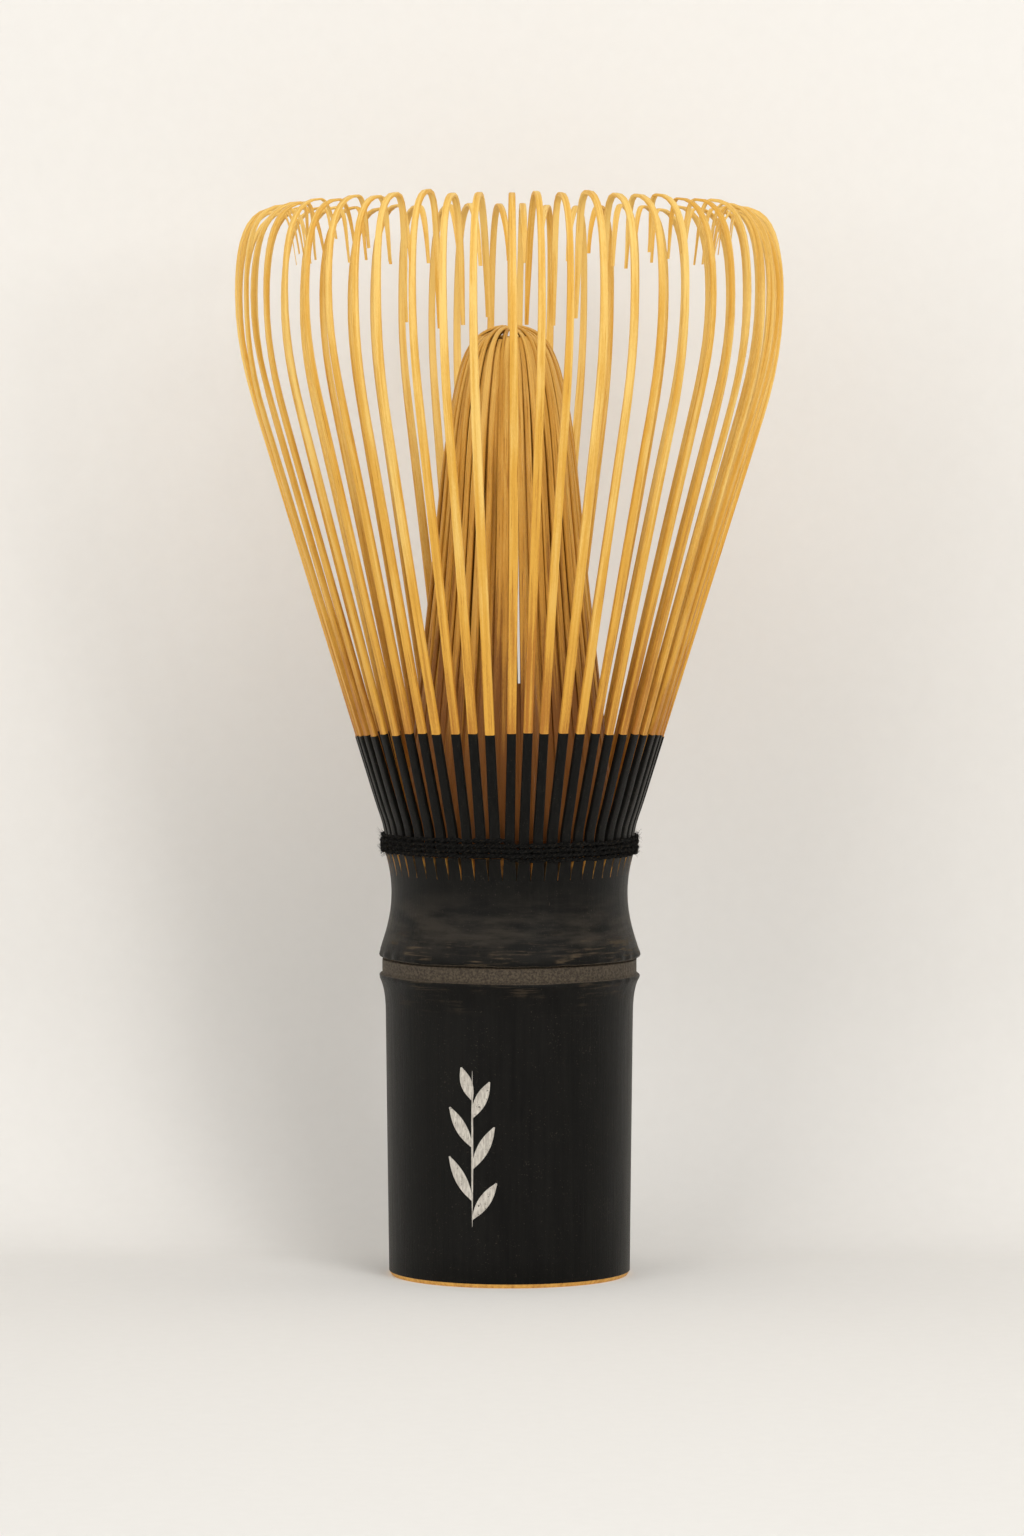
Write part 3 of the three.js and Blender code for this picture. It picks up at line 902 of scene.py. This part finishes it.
def make_sprig():
    bm = new_bmesh()
    brush_stroke(bm, Vector((SPRIG_ACROSS, SPRIG_FOOT)), SPRIG_HEAD - SPRIG_FOOT, STEM_WIDTH, 0)
    for height, length, lean in LEAVES:
        brush_stroke(bm, Vector((SPRIG_ACROSS, height - length * 0.4)), length, LEAF_WIDTH, lean)
    bmesh.ops.recalc_face_normals(bm, faces=bm.faces)
    for face in bm.faces:
        if face.normal.y < 0:
            face.normal_flip()
        face.smooth = True
    bmesh.ops.solidify(bm, geom=bm.faces[:], thickness=PAINT_THICKNESS)
    finish_piece("painted_sprig", bm, [silver_paint], "handle")


# ---------------------------------------------------------------- outer tines

def uneven(draw, spread):
    """A small chance offset in radius and height."""
    return Vector([draw.gauss(0, size) for size in spread])


def outer_line(draw, azimuth):
    """The middle line of an outer tine, and the ring where its skin ends."""
    root = Vector((ROOT_RADIUS, TINE_FOOT))
    shoulder = SHOULDER + uneven(draw, SHOULDER_SPREAD)
    flare = (shoulder.x - ROOT_RADIUS) / (shoulder.y - FLARE_START)
    half = CROWN_THICKNESS / 2
    belly = Vector((belly_outside - half + draw.uniform(-BELLY_SPREAD[0], 0.0),
                    BELLY_HEIGHT + draw.gauss(0, BELLY_SPREAD[1])))
    to_front = -math.sin(azimuth)
    rise = CROWN_FRONT_RISE * abs(to_front) - CROWN_SIDE_DROP
    crown = Vector((CROWN_RADIUS, crown_top - half + rise)) + uneven(draw, CROWN_SPREAD)
    to_side = abs(math.cos(azimuth))
    tip_height = shared_out(to_side, FRONT_TIP_HEIGHTS) if to_front > 0 else BACK_TIP_HEIGHT
    tip = Vector((shared_out(to_side, TIP_RADII), tip_height)) + uneven(draw, TIP_SPREAD)
    inward = Vector((-1.0, 0.0))
    flare_end = Vector((ROOT_RADIUS + flare * (FLARE_END - FLARE_START), FLARE_END))
    skin_height = SKIN_EDGE + SKIN_FRONT_RISE * max(to_front, 0.0) + draw.gauss(0, SKIN_SPREAD)
    skin_edge = Vector((ROOT_RADIUS + flare * (skin_height - FLARE_START), skin_height))
    line = [root, Vector((ROOT_RADIUS, FLARE_START - 0.8))]
    line += bend(line[-1], leaning(0), flare_end, leaning(flare), (0.35, 0.35), 5)
    line += straight(flare_end, skin_edge, 3)
    skin_ring = len(line) - 1
    line.append(skin_edge + leaning(flare) * SKIN_STEP)
    line += straight(line[-1], shoulder, 8)
    line += bend(shoulder, leaning(flare), belly, leaning(0), (0.35, 0.35), 6)
    line += bend(belly, leaning(0), crown, inward, (0.5, 0.35), 10)
    line += bend(crown, inward, tip, -leaning(0.15), (0.2, 0.5), 9)
    return line, skin_ring


def make_outer_tine(index, node):
    draw = random.Random(OUTER_SEED + index)
    azimuth = FRONT + index * tine_pitch
    line, skin_ring = outer_line(draw, azimuth)
    shares = shares_along(line)
    slim = 1.0 + draw.gauss(0, SLIM_SPREAD)
    widths = [shared_out(share, OUTER_WIDTHS) * slim for share in shares]
    thicknesses = [shared_out(share, OUTER_THICKNESSES) for share in shares]
    stray = draw.gauss(0, STRAY_SPREAD) - BACK_LEAN * (1 + math.sin(azimuth)) / 2
    sway = draw.gauss(0, SWAY_SPREAD)
    drifts = [stray * share + sway * math.sin(math.pi * share) for share in shares]
    template = strip_template(len(line), STRIP_ROUNDING, skin_ring)
    bm = new_bmesh()
    lay_strip(bm, template, line, widths, thicknesses, azimuth, draw, drifts, skin_ring + 1)
    bpy.data.meshes.remove(template)
    finish_piece(node.replace("tine", "strip"), bm, [split_bamboo, smoked_skin], node,
                 [node])


# ---------------------------------------------------------------- inner tines

def inner_line(draw, depth, reach, top):
    """The middle line of an inner tine, up to `top`. `reach` is how far over the apex it goes."""
    root = INNER_ROOT
    inset = Vector((-depth, 0.0))
    waist = INNER_WAIST + inset + Vector((draw.gauss(0, 0.1), 0.0))
    shoulder = INNER_SHOULDER + inset * 0.8 + Vector((draw.gauss(0, 0.1), draw.gauss(0, 0.3)))
    apex = INNER_APEX + Vector((0.0, -depth + draw.gauss(0, 0.15)))
    line = [root]
    line += bend(root, leaning(-0.09), waist, leaning(-0.1), (0.35, 0.35), 14)
    line += bend(waist, leaning(-0.1), shoulder, leaning(-0.28), (0.35, 0.35), 7)
    over = bend(shoulder, leaning(-0.28), apex, Vector((-1.0, 0.12)).normalized(), (0.5, 0.4), 10)
    line += over[:round(len(over) * reach)]
    return [point for point in line if point.y < top]


def lay_inner_strip(bm, azimuth, depth, reach, draw, top=200.0):
    line = inner_line(draw, depth, reach, top)
    shares = shares_along(line)
    narrow = INNER_TIP_WIDTH if reach == 1.0 else INNER_END_WIDTH
    width_stops = [(0.0, INNER_ROOT_WIDTH), (0.65, INNER_WIDTH), (0.85, INNER_WIDTH), (1.0, narrow)]
    if reach == 0.0:
        width_stops = [(0.0, INNER_ROOT_WIDTH), (1.0, SLIT_STRIP_WIDTH)]
    slim = 1.0 + draw.gauss(0, INNER_SLIM_SPREAD)
    widths = [shared_out(share, width_stops) * slim for share in shares]
    thicknesses = [INNER_THICKNESS * shared_out(share, INNER_THICKNESS_SHARES) for share in shares]
    stray = draw.gauss(0, INNER_STRAY_SPREAD)
    drifts = [stray * math.sin(math.pi * share) for share in shares]
    template = strip_template(len(line), INNER_ROUNDING)
    lay_strip(bm, template, line, widths, thicknesses, azimuth, draw, drifts)
    bpy.data.meshes.remove(template)


def lay_root_ring(bm, start):
    """The unsplit stretch of the culm's wall that a group of inner tines stands on."""
    inside, outside, low, high = INNER_ROOT_RING
    trim = ROOT_RING_TRIM / outside
    corners = ((inside, low), (outside, low), (outside, high), (inside, high))
    turn = Matrix.Rotation(start + trim, 3, 'Z')
    verts = [bm.verts.new(turn @ Vector((radius, 0.0, height))) for radius, height in corners]
    face = bm.faces.new(verts)
    bmesh.ops.spin(bm, geom=[face], cent=(0, 0, 0), axis=(0, 0, 1), dvec=(0, 0, 0),
                   angle=group_angle - 2 * trim, steps=INNER_PER_GROUP, use_merge=False,
                   use_duplicate=False)
    bmesh.ops.recalc_face_normals(bm, faces=bm.faces)


def lay_back_layer(bm, start, draw):
    """The strips behind, which end under the apex. Those at the see-through slits stop short."""
    for place in range(INNER_PER_GROUP):
        azimuth = start + (place + draw.gauss(0, BACK_PLACE_SPREAD)) * inner_pitch
        if place in SLIT_PLACES:
            top = SLIT_FOOT_RIGHT if math.cos(azimuth) > 0 else SLIT_FOOT_LEFT
            top -= SLIT_FOOT_FRONT_RISE * math.sin(azimuth)
            lay_inner_strip(bm, azimuth, BACK_LAYER_DEPTH, 0.0, draw, top)
            continue
        lay_inner_strip(bm, azimuth, BACK_LAYER_DEPTH, draw.uniform(*BACK_LAYER_REACH), draw)


def lay_front_layer(bm, start, draw):
    """The strips outside. Every second one closes over the apex."""
    for place in range(INNER_PER_GROUP):
        azimuth = start + (place + 0.5 + draw.gauss(0, FRONT_PLACE_SPREAD)) * inner_pitch
        closing = place % 2 == 1
        reach = 1.0 if closing else FRONT_SHORT_REACH
        depth = draw.uniform(0.0, FRONT_LAYER_DEPTH) + (0.0 if closing else FRONT_LAYER_DEPTH)
        lay_inner_strip(bm, azimuth, depth, reach, draw)


def make_inner_group(group, node):
    draw = random.Random(INNER_SEED + group)
    start = FRONT + group * group_angle
    bm = new_bmesh()
    lay_root_ring(bm, start)
    lay_back_layer(bm, start, draw)
    lay_front_layer(bm, start, draw)
    finish_piece(node.replace("tine", "strip"), bm, [inner_bamboo_shaded], node, [node])


# ---------------------------------------------------------------- thread

def lay_ply(bm, rings, turns, radius, foot, rise, start):
    """One ply of a twisted thread, wound round the axis. It sags into the gaps between the tines."""
    template = rod_template(rings, PLY_SIDES)
    last = rings - 1
    length = turns * FULL_TURN * radius
    made = add_copy(bm, template)
    for vert in made:
        ring = round((vert.co.z + 0.5) * last)
        share = ring / last
        azimuth = FRONT + share * turns * FULL_TURN
        twist = start + share * length / PLY_TWIST * FULL_TURN
        out = PLY_RADIUS * (PLY_OFFSET * math.cos(twist) + vert.co.x)
        up = PLY_RADIUS * (PLY_OFFSET * math.sin(twist) + vert.co.y)
        over_tine = SAG * math.cos((azimuth - FRONT) * len(OUTER_TINES))
        slack = SLACK * noise.noise(Vector((share * length * SLACK_SCALE, foot, radius)))
        lump = slack * 0.5 - ROUNDING * (2 * share - 1) ** 4
        place = Vector((radius + out + over_tine + lump, 0.0, foot + rise * share + up + slack))
        vert.co = Matrix.Rotation(azimuth, 3, 'Z') @ place
    turn_out(made)


def lay_fibre(bm, template, draw):
    """A short stray hair of the thread's nap."""
    azimuth = draw.uniform(0.0, FULL_TURN)
    height = draw.uniform(THREAD_FOOT - 0.15, THREAD_FOOT + THREAD_TURNS * THREAD_PITCH)
    length = draw.uniform(*(SHORT_HAIR if draw.random() < SHORT_HAIR_SHARE else LONG_HAIR))
    sideways = draw.uniform(-1.0, 1.0)
    upward = draw.uniform(-0.7, 1.0)
    curl = draw.uniform(-HAIR_CURL, HAIR_CURL)
    made = add_copy(bm, template)
    for vert in made:
        share = vert.co.z + 0.5
        thin = HAIR_RADIUS * (1.0 - HAIR_TAPER * share)
        out = length * share * HAIR_OUTWARD
        place = Vector((THREAD_RADIUS + PLY_RADIUS * 0.9 + out + vert.co.x * thin,
                        sideways * length * share + curl * length * share * share + vert.co.y * thin,
                        height + upward * length * share))
        vert.co = Matrix.Rotation(azimuth, 3, 'Z') @ place
    if upward < 0:
        turn_out(made)


def lay_passes(bm, template):
    """Stretches of thread that go in between the tines, from the turns outside to the weave."""
    for index in range(0, len(OUTER_TINES), TINES_PER_PASS):
        azimuth = FRONT + (index + 0.5) * tine_pitch
        for vert in add_copy(bm, template):
            share = vert.co.z + 0.5
            arch = PASS_ARCH * math.sin(math.pi * share)
            place = Vector((WEAVE_RADIUS + (THREAD_RADIUS - WEAVE_RADIUS) * share,
                            vert.co.x * PLY_RADIUS,
                            THREAD_FOOT + PASS_LIFT + arch + vert.co.y * PLY_RADIUS))
            vert.co = Matrix.Rotation(azimuth, 3, 'Z') @ place


def make_thread():
    bm = new_bmesh()
    hair = rod_template(4, 3)
    rise = (THREAD_TURNS - 0.3) * THREAD_PITCH
    for start in (0.0, math.pi):
        lay_ply(bm, RINGS_PER_TURN * THREAD_TURNS, THREAD_TURNS, THREAD_RADIUS, THREAD_FOOT, rise, start)
        lay_ply(bm, RINGS_PER_TURN, 1, WEAVE_RADIUS, THREAD_FOOT + WEAVE_LIFT, WEAVE_RISE, start)
    lay_passes(bm, rod_template(5, PLY_SIDES))
    draw = random.Random(NAP_SEED)
    for fibre in range(FUZZ_FIBRES):
        lay_fibre(bm, hair, draw)
    finish_piece("wound_thread", bm, [black_thread], "handle", ["binding_thread"])


# ---------------------------------------------------------------- stage, light and camera

def add_paper_bowl(name, radius, curve, wall_height, centre):
    """A round pale bowl with a flat floor. It faces inward."""
    bm = bmesh.new()
    line = [Vector((0.0, 0.0)), Vector((radius - curve, 0.0))]
    line += bend(line[-1], Vector((1.0, 0.0)), Vector((radius, curve)), leaning(0), (0.39, 0.39), 12)
    line.append(Vector((radius, wall_height)))
    verts = [bm.verts.new((point.x, 0.0, point.y)) for point in line]
    edges = [bm.edges.new(pair) for pair in zip(verts, verts[1:])]
    bmesh.ops.spin(bm, geom=verts + edges, cent=(0, 0, 0), axis=(0, 0, 1), dvec=(0, 0, 0),
                   angle=FULL_TURN, steps=256, use_merge=True, use_duplicate=False)
    bmesh.ops.remove_doubles(bm, verts=bm.verts, dist=1e-6)
    bmesh.ops.recalc_face_normals(bm, faces=bm.faces)
    if max(bm.faces, key=lambda face: face.calc_area()).normal.z < 0:
        bmesh.ops.reverse_faces(bm, faces=bm.faces)
    bmesh.ops.translate(bm, vec=centre, verts=bm.verts)
    for face in bm.faces:
        face.smooth = True
    mesh = bpy.data.meshes.new(name)
    bm.to_mesh(mesh)
    bm.free()
    mesh.materials.append(studio_paper)
    bowl = bpy.data.objects.new(name, mesh)
    bpy.context.scene.collection.objects.link(bowl)


def make_stage():
    add_paper_bowl("studio_paper_bowl", BOWL_RADIUS, BOWL_WALL_CURVE, BOWL_WALL_HEIGHT,
                   (0, BOWL_WALL_BEHIND - BOWL_RADIUS, 0))
    add_paper_bowl("studio_paper_room", ROOM_RADIUS, ROOM_WALL_CURVE, ROOM_WALL_HEIGHT,
                   (0, 0, -ROOM_DROP))


def aim(thing, target):
    thing.rotation_euler = (Vector(target) - thing.location).to_track_quat('-Z', 'Y').to_euler()


def add_light(name, place, target, size, power, colour):
    light = bpy.data.lights.new(name, 'AREA')
    light.size = size
    light.energy = power
    light.color = colour
    lamp = bpy.data.objects.new(name, light)
    lamp.location = place
    bpy.context.scene.collection.objects.link(lamp)
    aim(lamp, target)


def make_lights():
    middle = (0.0, 0.0, 0.055)
    add_light("key_light", (0.4, -0.72, 0.66), middle, 0.5, 3.6, (1.0, 0.985, 0.96))
    add_light("fill_light", (-0.7, -0.8, 0.4), middle, 0.8, 4.5, (1.0, 0.975, 0.94))
    add_light("waist_light", (0.34, -0.61, 0.22), (0.0, 0.0, 0.037), 0.14, 0.7, (1.0, 0.97, 0.93))
    world = bpy.data.worlds.new("studio")
    world.use_nodes = True
    world.node_tree.nodes["Background"].inputs["Color"].default_value = (1.0, 0.985, 0.96, 1.0)
    world.node_tree.nodes["Background"].inputs["Strength"].default_value = 0.48
    bpy.context.scene.world = world
    bpy.context.scene.view_settings.view_transform = 'Standard'


def make_camera():
    camera = bpy.data.cameras.new("camera")
    camera.lens = LENS
    holder = bpy.data.objects.new("camera", camera)
    holder.location = CAMERA_PLACE
    bpy.context.scene.collection.objects.link(holder)
    aim(holder, CAMERA_AIM)
    bpy.context.scene.camera = holder


make_camera()
make_stage()
make_lights()
make_handle()
make_sprig()
for tine, tine_node in enumerate(OUTER_TINES):
    make_outer_tine(tine, tine_node)
for group, group_node in enumerate(INNER_GROUPS):
    make_inner_group(group, group_node)
make_thread()
